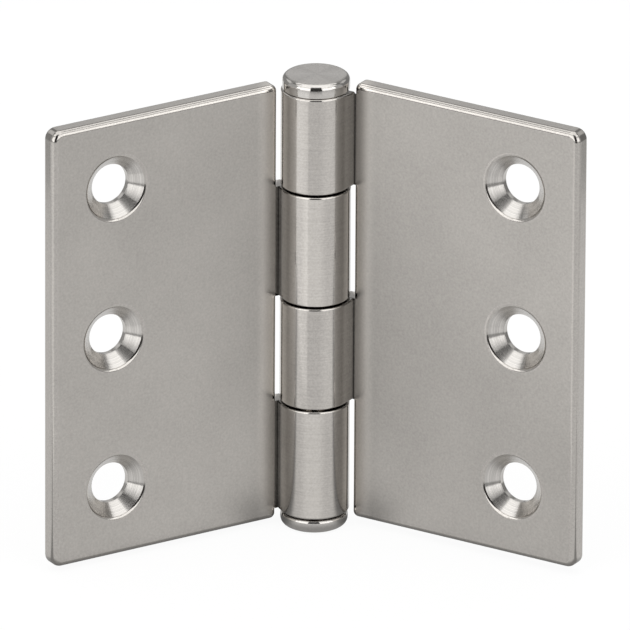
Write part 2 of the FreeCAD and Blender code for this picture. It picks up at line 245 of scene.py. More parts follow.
class HingeFinish(bpy.types.PropertyGroup):
    """Colours and gloss of the hinge's steel."""

    sheet: colour("Sheet", "Rolled stainless sheet", "#B8B4AF")
    turned: colour("Turned", "Turned stainless bar", "#BAB7B3")
    sheet_roughness: roughness("Sheet roughness", "Roughness of the flat leaves", 0.28)
    edge_roughness: roughness("Edge roughness", "Roughness of the tumbled edges", 0.15)
    knuckle_roughness: roughness("Knuckle roughness", "Roughness of the rolled knuckles", 0.13)
    sunk_roughness: roughness("Countersink roughness", "Roughness of the countersinks", 0.2)
    turned_roughness: roughness("Turned roughness", "Roughness of the head's and cap's sides", 0.13)
    faced_roughness: roughness("Faced roughness", "Roughness of the head's flat top", 0.27)


class HingeStudio(bpy.types.PropertyGroup):
    """The camera and the light round the hinge."""

    distance: length("Camera distance", "From the lens to the pin", 4311.0)
    elevation: FloatProperty(
        name="Elevation",
        description="Camera's height above the horizon",
        default=math.radians(22.1),
        unit="ROTATION",
    )
    roll: FloatProperty(
        name="Roll", description="How far the camera leans", default=math.radians(0.30), unit="ROTATION"
    )
    lens: FloatProperty(name="Lens", description="Focal length", default=1151.5, min=1.0, unit="CAMERA")
    aim_height: length("Aim height", "Height of the point on the pin that the camera looks at", 47.96)
    backdrop: colour("Backdrop", "Paper behind and under the hinge", "#FFFFFF")


def put(name, data):
    """A new object in the scene, at the origin."""
    made = bpy.data.objects.new(name, data)
    bpy.context.scene.collection.objects.link(made)
    return made


class Skin:
    """The faces of a piece in millimetres, each corner with its true normal, joined where they meet."""

    def __init__(self, place):
        self.place = place
        self.turn = place.to_3x3() * (1 / MM)
        self.found = {}
        self.points = []
        self.faces = []
        self.normals = []
        self.tracks = []
        self.finishes = []

    def corner(self, point):
        """Number of the corner at a point, new or already there."""
        key = tuple(round(value, 4) + 0.0 for value in point)
        if key not in self.found:
            self.found[key] = len(self.points)
            self.points.append(self.place @ Vector(point))
        return self.found[key]

    def face(self, points, normals, finish=FLAT_FINISH, tracks=None):
        """One face; a flat one has a single normal, and a curved one has one for each corner."""
        if isinstance(normals, Vector):
            normals = [normals] * len(points)
        tracks = tracks or [(0.0, 0.0)] * len(points)
        numbers = [self.corner(point) for point in points]
        kept = [i for i, number in enumerate(numbers) if number != numbers[i - 1]]
        if len({numbers[i] for i in kept}) < 3:
            return
        area = Vector()
        for i, last in zip(kept, [kept[-1], *kept]):
            area += self.points[numbers[last]].cross(self.points[numbers[i]])
        turned = [(self.turn @ normals[i]).normalized() for i in kept]
        if area.dot(sum(turned, Vector())) < 0:
            kept.reverse()
            turned.reverse()
        self.faces.append([numbers[i] for i in kept])
        self.normals += turned
        self.tracks += [tracks[i] for i in kept]
        self.finishes.append(finish)

    def strip(self, first, second, finish=FLAT_FINISH):
        """Quads between two rows of (point, normal), or (point, normal, track) where a tool cut."""
        for i in range(len(first) - 1):
            corners = (first[i], first[i + 1], second[i + 1], second[i])
            tracks = [corner[2] for corner in corners] if len(first[i]) > 2 else None
            self.face([corner[0] for corner in corners], [corner[1] for corner in corners], finish, tracks)

    def piece(self, name, materials):
        """The finished mesh object, at the origin."""
        mesh = bpy.data.meshes.new(name)
        mesh.from_pydata(self.points, [], self.faces)
        for material in materials:
            mesh.materials.append(material)
        mesh.polygons.foreach_set("material_index", self.finishes)
        mesh.polygons.foreach_set("use_smooth", [True] * len(self.faces))
        layer = mesh.uv_layers.new(name="cut")
        layer.data.foreach_set("uv", [value for track in self.tracks for value in track])
        mesh.normals_split_custom_set(self.normals)
        mesh.validate()
        return put(name, mesh)


def quarter():
    """Angles that cut a quarter turn evenly."""
    return [math.pi / 2 * i / ROUND_STEPS for i in range(ROUND_STEPS + 1)]


def plan_arc(centre, radius, first, last, first_round, last_round):
    """Spots round a corner of the leaf, as (x, z, out x, out z, rounding of the front edge there)."""
    spots = []
    for i in range(ROUND_STEPS + 1):
        share = i / ROUND_STEPS
        angle = first + (last - first) * share
        across, up = math.cos(angle), math.sin(angle)
        rounding = first_round + (last_round - first_round) * share
        spots.append((centre[0] + radius * across, centre[1] + radius * up, across, up, rounding))
    return spots


class LeafPlan:
    """Sizes of one leaf in millimetres, flat in its own frame: X across, Y through the sheet, Z up."""

    def __init__(self, sizes, side, node, knuckles):
        low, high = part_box(node)
        self.low, self.top = low.z / MM, high.z / MM
        self.front = (sizes.pin_radius + sizes.pin_play) / MM
        self.back = self.front + sizes.gauge / MM
        self.width = sizes.leaf_width / MM
        self.corner = sizes.corner_radius / MM
        self.rim = sizes.rim_round / MM
        for name in ("front_round", "back_round", "slot_round", "neck_round", "notch_drop", "sink_round"):
            setattr(self, name, getattr(sizes, name) / MM)
        round_x = math.sqrt(self.back**2 - self.front**2)
        tip_reach = sizes.right_tip_reach if side > 0 else sizes.left_tip_reach
        self.tip = (round_x + tip_reach / MM, self.front - sizes.seam_gap / MM)
        self.slot = round_x + sizes.slot_reach / MM
        self.inner = self.slot + self.slot_round
        self.sink = sizes.sink_radius / MM
        self.knuckles = sorted(knuckles)
        # Only the right leaf's top knuckle slopes: its neck beside the leaf, and its curl's corner.
        self.sloped_end = self.knuckles[-1][1] if side > 0 else None
        self.notch = self.slot - sizes.notch_width / MM
        self.notch_rate = sizes.notch_fall / sizes.gauge
        self.seam = self.front - sizes.seam_gap / 2 / MM
        self.slope_start = self.seam - sizes.tip_slope_run / MM
        self.slope_rate = sizes.tip_slope_drop / sizes.tip_slope_run
        turn = Matrix.Rotation(-side * LEAF_ANGLE, 4, "Z") @ Matrix.Diagonal((side, 1.0, 1.0, 1.0))
        self.place = turn @ Matrix.Scale(MM, 4)
        prefix = "right" if side > 0 else "left"
        mounts = [MOUNTS[f"{prefix}_hole_{level}"] for level in HOLE_LEVELS]
        spots = [self.place.inverted() @ Vector(mount["pos_m"]) for mount in mounts]
        self.holes = [(spot.x, spot.z) for spot in spots]
        self.hole = mounts[0]["dims"]["r_mm"]
        middle = sum(x for x, _ in self.holes) / len(self.holes)
        self.half_cell = self.sink + CELL_MARGIN
        self.columns = (middle - self.half_cell, middle + self.half_cell)

    def notch_level(self, depth):
        """Level of the top knuckle's sloped neck at a depth through the sheet."""
        return self.sloped_end - self.notch_drop - (depth - self.front) * self.notch_rate


def rim_row(plan, spot):
    """The sheet's rounded edge from front to back at one spot of the outline, as points and normals."""
    x, z, across, up, front_round = spot
    rows = []
    edges = ((quarter(), front_round, plan.front, 1), (quarter()[::-1], plan.back_round, plan.back, -1))
    for angles, radius, face, way in edges:
        for angle in angles:
            out, through = math.sin(angle), math.cos(angle)
            rows.append((radius * (1 - out), face + way * radius * (1 - through), out, -way * through))
    return [
        (Vector((x - across * inset, depth, z - up * inset)), Vector((across * out, through, up * out)))
        for inset, depth, out, through in rows
    ]


def neck_row(plan, level):
    """The rounded edge where a slot's wall meets a knuckle."""
    row = rim_row(plan, (plan.slot, level, -1.0, 0.0, plan.slot_round))
    if level != plan.sloped_end:
        return row
    return [(Vector((spot.x, spot.y, plan.notch_level(spot.y))), normal) for spot, normal in row]


def outline_rows(plan):
    """The rounded edges of the leaf: the run round the sheet, and those of the slots between necks."""
    low, top, corner, slot, front = plan.low, plan.top, plan.corner, plan.slot, plan.front_round
    half = math.pi / 2
    left, right = plan.columns
    bend = front
    run = plan_arc((slot + bend, low + bend), bend, 2 * half, 3 * half, plan.slot_round, front)
    run += [(left, low, 0.0, -1.0, front), (right, low, 0.0, -1.0, front)]
    run += plan_arc((plan.width - corner, low + corner), corner, 3 * half, 4 * half, front, front)
    run += plan_arc((plan.width - corner, top - corner), corner, 0.0, half, front, front)
    run += [(right, top, 0.0, 1.0, front), (left, top, 0.0, 1.0, front)]
    run += plan_arc((slot + bend, top - bend), bend, half, 2 * half, front, plan.slot_round)
    rows = [neck_row(plan, plan.knuckles[0][0])] + [rim_row(plan, spot) for spot in run]
    rows.append(neck_row(plan, plan.knuckles[-1][1]))
    between = [
        [neck_row(plan, upper[0]), neck_row(plan, lower[1])]
        for lower, upper in zip(plan.knuckles, plan.knuckles[1:])
    ]
    return rows, between


def leaf_faces(skin, plan, rows):
    """The flat front and back of the sheet inside its rounded edges, cut into cells round the holes."""
    left, right = plan.columns
    bends = ROUND_STEPS + 2
    levels = []
    for _, height in plan.holes:
        levels += [height - plan.half_cell, height + plan.half_cell]
    necks = sorted((level for knuckle in plan.knuckles for level in knuckle), reverse=True)[1:-1]
    for end, normal in ((0, Vector((0, -1, 0))), (-1, Vector((0, 1, 0)))):
        edge = [row[end][0] for row in rows]
        depth = edge[0].y
        neck_side = [neck_row(plan, level)[end][0] for level in necks]
        hole_side = [(left, depth, level) for level in levels]
        skin.face(edge[: bends + 1] + hole_side + edge[-bends - 1 :] + neck_side, normal)
        hole_side = [(right, depth, level) for level in reversed(levels)]
        skin.face(edge[bends + 1 : -bends - 1] + hole_side, normal)
        marks = [edge[bends].z, *levels, edge[-bends - 1].z]
        for i in range(0, len(marks), 2):
            heights = (marks[i], marks[i], marks[i + 1], marks[i + 1])
            skin.face([(x, depth, z) for x, z in zip((left, right, right, left), heights)], normal)


def hole_profile(plan):
    """A countersunk hole from front to back, as rows of (radius, depth, inward, through, finish)."""
    reach = plan.sink_round * math.tan(SINK_SLOPE / 2)
    rows = []
    for i in range(ROUND_STEPS + 1):
        angle = SINK_SLOPE * i / ROUND_STEPS
        radius = plan.sink + reach - plan.sink_round * math.sin(angle)
        depth = plan.sink_round * (1 - math.cos(angle))
        rows.append((radius, depth, math.sin(angle), -math.cos(angle), EDGE_FINISH))
    lip_radius, lip_depth = rows[-1][:2]
    inward, through = math.sin(SINK_SLOPE), -math.cos(SINK_SLOPE)
    for i in range(SINK_RINGS + 1):
        step = (lip_radius - plan.hole) * i / SINK_RINGS
        rows.append((lip_radius - step, lip_depth + step, inward, through, SUNK_FINISH))
    land_depth = rows[-1][1]
    rows.append((plan.hole, land_depth, 1.0, 0.0, SUNK_FINISH))
    rows.append((plan.hole, plan.back - plan.front, 1.0, 0.0, SUNK_FINISH))
    return rows


def screw_hole(skin, plan, centre):
    """One countersunk hole, with the cells of the front and back faces round it."""
    turns = [2 * math.pi * i / HOLE_STEPS for i in range(HOLE_STEPS + 1)]

    def ring(radius, depth, inward, through):
        spots = []
        for turn in turns:
            across, up = math.cos(turn), math.sin(turn)
            spot = Vector((centre[0] + radius * across, plan.front + depth, centre[1] + radius * up))
            normal = Vector((-inward * across, through, -inward * up))
            spots.append((spot, normal, (turn / (2 * math.pi), depth)))
        return spots

    rows = hole_profile(plan)
    rings = [ring(*row[:4]) for row in rows]
    for first, second, row in zip(rings, rings[1:], rows[1:]):
        skin.strip(first, second, row[4])

    left, right = plan.columns
    low, top = centre[1] - plan.half_cell, centre[1] + plan.half_cell
    corners = ((right, low), (right, top), (left, top), (left, low))
    eighth = HOLE_STEPS // 8
    for edge_ring, depth, normal in (
        (rings[0], plan.front, Vector((0, -1, 0))),
        (rings[-1], plan.back, Vector((0, 1, 0))),
    ):
        for i in range(4):
            first, last = corners[i], corners[(i + 1) % 4]
            start = (2 * i - 1) * eighth
            arc = [edge_ring[(start + k) % HOLE_STEPS][0] for k in range(2 * eighth + 1)]
            points = [(first[0], depth, first[1]), (last[0], depth, last[1])] + arc[::-1]
            skin.face(points, normal)


def curl_path(plan):
    """Outside of the curl from the neck to its tip, as (x, y, out x, out y, inset x, inset y, rounding)."""
    tip_x, tip_y = plan.tip
    leave = 2 * math.pi + math.atan2(tip_y, tip_x) - math.acos(plan.back / math.hypot(tip_x, tip_y))
    count = round((leave - math.pi / 2) / CURL_STEP)
    angles = [math.pi / 2 + (leave - math.pi / 2) * i / count for i in range(count + 1)]
    path = []
    for angle in angles:
        across, along = math.cos(angle), math.sin(angle)
        path.append((plan.back * across, plan.back * along, across, along, across, along, plan.rim))
    across, along = math.cos(leave), math.sin(leave)
    path.append((tip_x, tip_y, across, along, 1 / across, 0.0, plan.rim))
    return path, angles


def neck_path(plan, notched):
    """Back edge of a knuckle's neck from the slot's wall to the curl, in the curl's form."""
    if notched:
        return [(plan.notch, plan.back, 0.0, 1.0, 0.0, 1.0, plan.rim)]
    wall = plan.slot + plan.back_round
    path = []
    for i in range(NECK_STEPS):
        share = i / NECK_STEPS
        rounding = plan.rim * share + plan.neck_round * math.sin(math.pi * share)
        path.append((wall * (1 - share), plan.back, 0.0, 1.0, 0.0, 1.0, rounding))
    return path


class Knuckle:
    """One rolled knuckle: barrel, bore, seam, neck and both ends, with its outer rims rounded."""

    def __init__(self, skin, plan, low, top):
        self.skin, self.plan = skin, plan
        self.curl, self.angles = curl_path(plan)
        bore_end = 2 * math.pi + math.asin(plan.tip[1] / plan.front)
        start = self.angles[-1]
        count = round((bore_end - start) / CURL_STEP)
        self.turns = self.angles + [start + (bore_end - start) * i / count for i in range(1, count + 1)]
        ends = [self.end(low, -1.0), self.end(top, 1.0)]
        self.barrel(*ends)
        self.neck(*ends)

    def fall(self, level, x, y):
        """How far an end lies below its level, at one point of the curl."""
        if level != self.plan.sloped_end or x <= 0 or y > self.plan.seam:
            return 0.0
        return max(0.0, y - self.plan.slope_start) * self.plan.slope_rate

    def out_of_end(self, level, way, point):
        """Normal of a knuckle's end at one point."""
        tilt = self.plan.slope_rate if self.fall(level, point.x, point.y) > 0 else 0.0
        return Vector((0, tilt, way)).normalized()

    def end(self, level, way):
        """One end: the rows of its rounded rim, its bore, and its flat face round the curl."""
        plan = self.plan
        notched = level == plan.sloped_end
        neck = neck_path(plan, notched)
        rows = []
        for angle in quarter():
            row = []
            for x, y, out_x, out_y, inset_x, inset_y, rounding in neck + self.curl:
                inset, drop = rounding * (1 - math.cos(angle)), rounding * (1 - math.sin(angle))
                spot = Vector((x - inset_x * inset, y - inset_y * inset, level - way * drop))
                spot.z -= self.fall(level, spot.x, spot.y)
                normal = Vector((out_x * math.cos(angle), out_y * math.cos(angle), way * math.sin(angle)))
                row.append((spot, normal))
            rows.append(row)
        for first, second in zip(rows, rows[1:]):
            self.skin.strip(first, second, EDGE_FINISH)

        bore = []
        for turn in self.turns:
            x, y = plan.front * math.cos(turn), plan.front * math.sin(turn)
            spot = Vector((x, y, level - self.fall(level, x, y)))
            bore.append((spot, Vector((-math.cos(turn), -math.sin(turn), 0))))

        outer = [spot for spot, _ in rows[-1]][len(neck) :]
        inner = [spot for spot, _ in bore]
        for i in range(len(self.angles) - 1):
            quad = [outer[i], outer[i + 1], inner[i + 1], inner[i]]
            self.skin.face(quad, [self.out_of_end(level, way, spot) for spot in quad])
        tip = inner[len(self.angles) - 1 :] + [outer[-1], outer[-2]]
        self.skin.face(tip, [self.out_of_end(level, way, spot) for spot in tip])
        sizes = {"level": level, "way": way, "neck": len(neck), "notched": notched}
        return {**sizes, "rows": rows, "bore": bore}

    def barrel(self, low, top):
        """The curl's outside and bore between both ends, and the face along its seam."""
        sides = [end["rows"][0][end["neck"] :] for end in (low, top)]
        self.skin.strip(*sides)
        self.skin.strip(low["bore"], top["bore"])
        seam = [low["bore"][-1][0]] + [row[-1][0] for row in reversed(low["rows"])]
        seam += [row[-1][0] for row in top["rows"]] + [top["bore"][-1][0]]
        self.skin.face(seam, Vector((0, 1, 0)))

    def neck(self, low, top):
        """The flat neck that joins the curl to the leaf, with its ends."""
        plan, face = self.plan, self.skin.face
        front_side = [(0, plan.front, low["level"]), (plan.inner, plan.front, low["level"])]
        back_side = [spot for spot, _ in low["rows"][0][: low["neck"] + 1]][::-1]
        for end in (low, top):
            normal = Vector((0, 0, end["way"]))
            outer = [spot for spot, _ in end["rows"][-1][: end["neck"] + 1]]
            start = end["bore"][0][0]
            edge = [spot for spot, _ in neck_row(plan, end["level"])]
            if not end["notched"]:
                face([start] + edge + outer[1:], normal)
                continue
            foot = (plan.notch, plan.front, plan.notch_level(plan.front))
            deep = (plan.notch, plan.back, plan.notch_level(plan.back))
            corner = (plan.notch, plan.front, end["level"])
            face([start, corner] + outer, normal)
            face([foot] + edge + [deep], Vector((0, plan.notch_rate, 1)).normalized())
            face([foot, corner] + [row[0][0] for row in reversed(end["rows"])] + [deep], Vector((1, 0, 0)))
            front_side += [(plan.inner, plan.front, foot[2]), foot, corner]
            back_side += [(plan.slot + plan.back_round, plan.back, deep[2]), deep]
        if not top["notched"]:
            front_side.append((plan.inner, plan.front, top["level"]))
        front_side.append((0, plan.front, top["level"]))
        back_side += [spot for spot, _ in top["rows"][0][: top["neck"] + 1]]
        face(front_side, Vector((0, -1, 0)))
        face(back_side, Vector((0, 1, 0)))


def make_leaf(sizes, side, node, knuckles, materials):
    """One whole leaf as a closed mesh, in place of its CAD node."""
    plan = LeafPlan(sizes, side, node, knuckles)
    skin = Skin(plan.place)
    outline, between = outline_rows(plan)
    for run in (outline, *between):
        for first, second in zip(run, run[1:]):
            skin.strip(first, second, EDGE_FINISH)
    leaf_faces(skin, plan, outline)
    for centre in plan.holes:
        screw_hole(skin, plan, centre)
    for low, top in plan.knuckles:
        Knuckle(skin, plan, low, top)
    return skin.piece(f"{node}_finished", materials)


def knuckle_levels(sizes):
    """Lowest and highest level of each knuckle in millimetres, from the top down."""
    level = PIN_HIGH.z - sizes.head_height
    levels = []
    for height in sizes.knuckles:
        levels.append(((level - height) / MM, level / MM))
        level -= height + sizes.knuckle_gap
    return levels


def add(tree, kind, inputs=(), **settings):
    """Adds a node with its settings; its inputs, by name or in order, take values, outputs or nodes."""
    node = tree.nodes.new(kind)
    for name, value in settings.items():
        setattr(node, name, value)
    for key, value in inputs.items() if isinstance(inputs, dict) else enumerate(inputs):
        if isinstance(value, bpy.types.Node):
            value = value.outputs[0]
        if isinstance(value, bpy.types.NodeSocket):
            tree.links.new(value, node.inputs[key])
        else:
            node.inputs[key].default_value = value
    return node


def lathe_tree():
    """Geometry nodes that round the corners of a half section and spin it round Z into a closed solid."""
    tree = bpy.data.node_groups.new("lathe", "GeometryNodeTree")
    sockets = {"Half section": "Geometry", "Facets": "Int", "Rounding steps": "Int", "Finish": "Material"}
    for name, kind in sockets.items():
        tree.interface.new_socket(name, in_out="INPUT", socket_type=f"NodeSocket{kind}")
    tree.interface.new_socket("Piece", in_out="OUTPUT", socket_type="NodeSocketGeometry")
    given = add(tree, "NodeGroupInput")
    rounded = add(
        tree,
        "GeometryNodeFilletCurve",
        {
            "Curve": given.outputs["Half section"],
            "Count": given.outputs["Rounding steps"],
            "Radius": add(tree, "GeometryNodeInputRadius"),
            "Limit Radius": True,
        },
        mode="POLY",
    )
    even = add(tree, "GeometryNodeSetCurveRadius", {"Curve": rounded, "Radius": 1.0})
    # The section turns on a thin ring about the axis, so it starts that much nearer to it.
    spindle = 1 * MM
    moved = add(tree, "GeometryNodeTransform", {"Geometry": even, "Translation": (-spindle, 0, 0)})
    ring = {"Resolution": given.outputs["Facets"], "Radius": spindle}
    circle = add(tree, "GeometryNodeCurvePrimitiveCircle", ring)
    spun = add(tree, "GeometryNodeCurveToMesh", {"Curve": circle, "Profile Curve": moved})
    closed = add(tree, "GeometryNodeMergeByDistance", {"Geometry": spun, "Distance": MERGE_DISTANCE})
    smooth = add(tree, "GeometryNodeSetShadeSmooth", {"Geometry": closed})
    real = add(tree, "GeometryNodeRealizeInstances", {"Geometry": smooth})
    dressed = add(tree, "GeometryNodeSetMaterial", {"Geometry": real, "Material": given.outputs["Finish"]})
    add(tree, "NodeGroupOutput", {"Piece": dressed})
    return tree


def turn_piece(name, section, facets, material):
    """Turns one piece from its half section, given as (radius, height, rounding) in metres."""
    curve = bpy.data.curves.new(f"{name}_section", "CURVE")
    curve.dimensions = "3D"
    spline = curve.splines.new("POLY")
    spline.points.add(len(section) - 1)
    for point, (radius, height, rounding) in zip(spline.points, reversed(section)):
        point.co = (radius, -height, 0.0, 1.0)
        point.radius = rounding
    blank = put(f"{name}_section", curve)
    tree = bpy.data.node_groups.get("lathe") or lathe_tree()
    modifier = blank.modifiers.new("lathe", "NODES")
    modifier.node_group = tree
    sockets = {item.name: item.identifier for item in tree.interface.items_tree if item.in_out == "INPUT"}
    modifier[sockets["Facets"]] = facets
    modifier[sockets["Rounding steps"]] = ROUND_STEPS
    modifier[sockets["Finish"]] = material
    mesh = bpy.data.meshes.new_from_object(blank.evaluated_get(bpy.context.evaluated_depsgraph_get()))
    mesh.name = name
    bpy.data.objects.remove(blank)
    return put(name, mesh)


def principled(name, settings):
    """A new material with a principled shader, its tree and that shader."""
    material = bpy.data.materials.new(name)
    material.use_nodes = True
    tree = material.node_tree
    shader = tree.nodes["Principled BSDF"]
    for socket, value in settings.items():
        shader.inputs[socket].default_value = value
    return material, tree, shader


def in_mm(tree):
    """Place on the piece in millimetres, from its own frame."""
    place = add(tree, "ShaderNodeTexCoord").outputs["Object"]
    return add(tree, "ShaderNodeVectorMath", {0: place, "Scale": 1 / MM}, operation="SCALE")


def from_axis(tree, place):
    """Place brought down to one level, and its distance from the pin's axis."""
    flat = add(tree, "ShaderNodeVectorMath", (place, (1.0, 1.0, 0.0)), operation="MULTIPLY")
    return flat, add(tree, "ShaderNodeVectorMath", (flat,), operation="LENGTH").outputs["Value"]


def around(tree, place, radius):
    """Place unrolled round the pin's axis: arc length and height."""
    parts = add(tree, "ShaderNodeSeparateXYZ", (place,)).outputs
    turn = add(tree, "ShaderNodeMath", (parts["Y"], parts["X"]), operation="ARCTAN2")
    arc = add(tree, "ShaderNodeMath", (turn, radius), operation="MULTIPLY")
    return add(tree, "ShaderNodeCombineXYZ", (arc, parts["Z"]))


def swing(tree, value, size):
    """A value from 0 to 1 turned into a swing of the given size about 0."""
    centred = add(tree, "ShaderNodeMath", (value, 0.5), operation="SUBTRACT")
    return add(tree, "ShaderNodeMath", (centred, size), operation="MULTIPLY")


def total(tree, first, *others):
    """Sum of several values."""
    for value in others:
        first = add(tree, "ShaderNodeMath", (first, value), operation="ADD")
    return first


def tinted(tree, shader, colour, *swings):
    """Steel of one colour, made a little lighter and darker by the swings."""
    colours = {"Factor": 1.0, FIRST_COLOUR: (*colour, 1.0), SECOND_COLOUR: total(tree, 1.0, *swings)}
    mixed = add(tree, "ShaderNodeMix", colours, data_type="RGBA", blend_type="MULTIPLY")
    tree.links.new(mixed.outputs[MIXED_COLOUR], shader.inputs["Base Color"])


def satin_sheet(finish, name, side, dullness, shade):
    """Rolled stainless sheet tumbled to a satin: soft flats and die-polished knuckles, with painted light
    and shade.
    """
    material, tree, shader = principled(name, {"Metallic": 1.0})
    place = in_mm(tree)
    flat, reach = from_axis(tree, place)
    barrel = add(tree, "ShaderNodeMapRange", (reach, *KNUCKLE_STEP), **SMOOTH)

    # The tumbling stones leave faint cloudy patches and a fine grain, which is a tenth of a millimetre on
    # the real sheet and is drawn nearly five times as coarse, so that it shows.
    grain = add(tree, "ShaderNodeTexNoise", {"Vector": place, "Scale": 1 / TUMBLED_GRAIN, "Detail": 3.0})
    clouds = add(tree, "ShaderNodeTexNoise", {"Vector": place, "Scale": 1 / TUMBLED_PATCH, "Detail": 4.0})
    # The dies draw fine marks round each knuckle, also drawn coarser than they are.
    unrolled = around(tree, place, BARREL_RADIUS)
    long_marks = (1 / DIE_MARK[0], 1 / DIE_MARK[1], 1.0)
    marked = add(tree, "ShaderNodeVectorMath", (unrolled, long_marks), operation="MULTIPLY")
    marks = add(tree, "ShaderNodeTexNoise", {"Vector": marked, "Scale": 1.0, "Detail": 3.0})
    # Painted shade in the corner beside the seam, deepest on the knuckle's side, where the seam's crease
    # lies in shade.
    seam = (SEAM_CORNER[0] * side, SEAM_CORNER[1], 0.0)
    depth = add(tree, "ShaderNodeVectorMath", (flat, seam), operation="DISTANCE").outputs["Value"]
    corner = add(tree, "ShaderNodeMapRange", (depth, *SEAM_SHADE_STEP), **SMOOTH)
    seam_pocket_shade = add(tree, "ShaderNodeMapRange", (depth, *POCKET_SHADE_STEP), **SMOOTH)
    # Painted reflection: a band along the front of the knuckles, lighter on the left leaf and darker on the
    # right, and painted shade over their right side.
    parts = add(tree, "ShaderNodeSeparateXYZ", (place,)).outputs
    forward = add(tree, "ShaderNodeMath", (parts["Y"], -1.0), operation="MULTIPLY")
    turn = add(tree, "ShaderNodeMath", (parts["X"], forward), operation="ARCTAN2")
    from_band_centre = add(tree, "ShaderNodeMath", (turn, PAINTED_BAND_CENTRE), operation="SUBTRACT")
    off_band_centre = add(tree, "ShaderNodeMath", (from_band_centre,), operation="ABSOLUTE")
    painted_band = add(tree, "ShaderNodeMapRange", (off_band_centre, *PAINTED_BAND_STEP, *PAINTED_BAND_VALUES[side]), **SMOOTH)
    side_shade = add(tree, "ShaderNodeMapRange", (turn, *SIDE_SHADE_STEP), **SMOOTH)
    # On the knuckles: the dies' marks, together with the painted shade and the painted reflection band.
    rolled = total(tree, swing(tree, marks, DIE_MARK_TINT), seam_pocket_shade, painted_band, side_shade)
    # A painted highlight on the sheet beside the knuckles, fading into the flats' shade, which is partly
    # their duller tumbled finish and partly painted shade.
    painted_highlight_and_shade = add(tree, "ShaderNodeMapRange", (reach, *BESIDE_KNUCKLE_HIGHLIGHT_STEP, shade), **SMOOTH)
    marks_and_painted_light = add(tree, "ShaderNodeMix", {"Factor": barrel, "A": painted_highlight_and_shade, "B": rolled}, data_type="FLOAT")
    stoned = (swing(tree, grain, GRAIN_TINT), swing(tree, clouds, PATCH_TINT))
    tinted(tree, shader, finish.sheet, *stoned, corner, marks_and_painted_light)

    knuckle_dullness = min(dullness, finish.knuckle_roughness)
    gloss = add(tree, "ShaderNodeMapRange", (barrel, 0.0, 1.0, dullness, knuckle_dullness), **SMOOTH)
    tree.links.new(gloss.outputs[0], shader.inputs["Roughness"])
    # Rolling leaves the knuckles slightly wavy, which bends the reflections' edges.
    wavy = add(tree, "ShaderNodeTexNoise", {"Vector": place, "Scale": 1 / ROLLED_WAVE, "Detail": 1.0})
    waves = add(tree, "ShaderNodeMath", (wavy, barrel), operation="MULTIPLY")
    bump = add(tree, "ShaderNodeBump", {"Height": waves, "Distance": WAVE_HEIGHT * MM, "Strength": 1.0})
    tree.links.new(bump.outputs[0], shader.inputs["Normal"])
    return material


def cut_steel(finish):
    """Countersinks cut by a rotating tool: bright, with fine rings and fans of light across them."""
    look = {**TOOL_MARKED, "Roughness": finish.sunk_roughness}
    material, tree, shader = principled("countersunk_stainless", look)
    track = add(tree, "ShaderNodeUVMap", uv_map="cut")
    # The tool's rings are a few hundredths of a millimetre apart, and are drawn coarser, so that they show.
    round_and_down = (CUT_STREAKS, 1 / CUT_RING, 1.0)
    ringed = add(tree, "ShaderNodeVectorMath", (track, round_and_down), operation="MULTIPLY")
    rings = add(tree, "ShaderNodeTexNoise", {"Vector": ringed, "Scale": 1.0, "Detail": 2.0})
    tinted(tree, shader, finish.turned, swing(tree, rings, CUT_RING_TINT))
    tangent = add(tree, "ShaderNodeTangent", direction_type="UV_MAP", uv_map="cut")
    tree.links.new(tangent.outputs[0], shader.inputs["Tangent"])
    return material


def turned_steel(finish):
    """Stainless bar turned on a lathe: bright, with a fan of light on its flat ends."""
    material, tree, shader = principled("turned_stainless_bar", TOOL_MARKED)
    place = in_mm(tree)
    _, reach = from_axis(tree, place)
    level = add(tree, "ShaderNodeSeparateXYZ", (place,)).outputs["Z"]
    # The bar's grain and the tool's rings are finer than a pixel, and are drawn coarser, so that they show.
    grain = add(tree, "ShaderNodeTexNoise", {"Vector": place, "Scale": 1 / TURNED_GRAIN, "Detail": 2.0})
    section = add(tree, "ShaderNodeCombineXYZ", (reach, level))
    rings = add(tree, "ShaderNodeTexNoise", {"Vector": section, "Scale": 1 / TURNED_RING, "Detail": 3.0})
    marks = [swing(tree, pattern, TURNED_TINT) for pattern in (grain, rings)]
    tinted(tree, shader, finish.turned, *marks)
    # The facing tool leaves coarser rings on the head's flat top than the side has.
    ends = [PIN_HIGH.z / MM - below for below in FACED_STEP]
    faced = (level, *ends, finish.turned_roughness, finish.faced_roughness)
    gloss = add(tree, "ShaderNodeMapRange", faced, **SMOOTH)
    tree.links.new(gloss.outputs[0], shader.inputs["Roughness"])
    turn = add(tree, "ShaderNodeVectorMath", ((0.0, 0.0, 1.0), place), operation="CROSS_PRODUCT")
    spaces = {"vector_type": "VECTOR", "convert_from": "OBJECT", "convert_to": "WORLD"}
    tangent = add(tree, "ShaderNodeVectorTransform", (turn,), **spaces)
    tree.links.new(tangent.outputs[0], shader.inputs["Tangent"])
    return material


class HINGE_OT_leaves(bpy.types.Operator):
    """Build both rolled leaves with their knuckles and countersunk holes"""

    bl_idname = "hinge.leaves"
    bl_label = "Leaves"

    def execute(self, context):
        sizes, finish = context.scene.hinge_sizes, context.scene.hinge_finish
        levels = knuckle_levels(sizes)
        cut = cut_steel(finish)
        for side, node, body, knuckles in (
            (1, "right_leaf", "right_half", levels[0::2]),
            (-1, "left_leaf", "left_half", levels[1::2]),
        ):
            # Each leaf's copy of the sheet carries its own painted shade, because the two leaves face the
            # light differently.
            shade = FLAT_SHADE[side]
            flats = satin_sheet(finish, f"{node}_tumbled_sheet", side, finish.sheet_roughness, shade)
            edges = satin_sheet(finish, f"{node}_tumbled_edges", side, finish.edge_roughness, EDGE_SHADE)
            leaf = make_leaf(sizes, side, node, knuckles, (flats, cut, edges))
            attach(leaf, body)
            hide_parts(node)
        return {"FINISHED"}


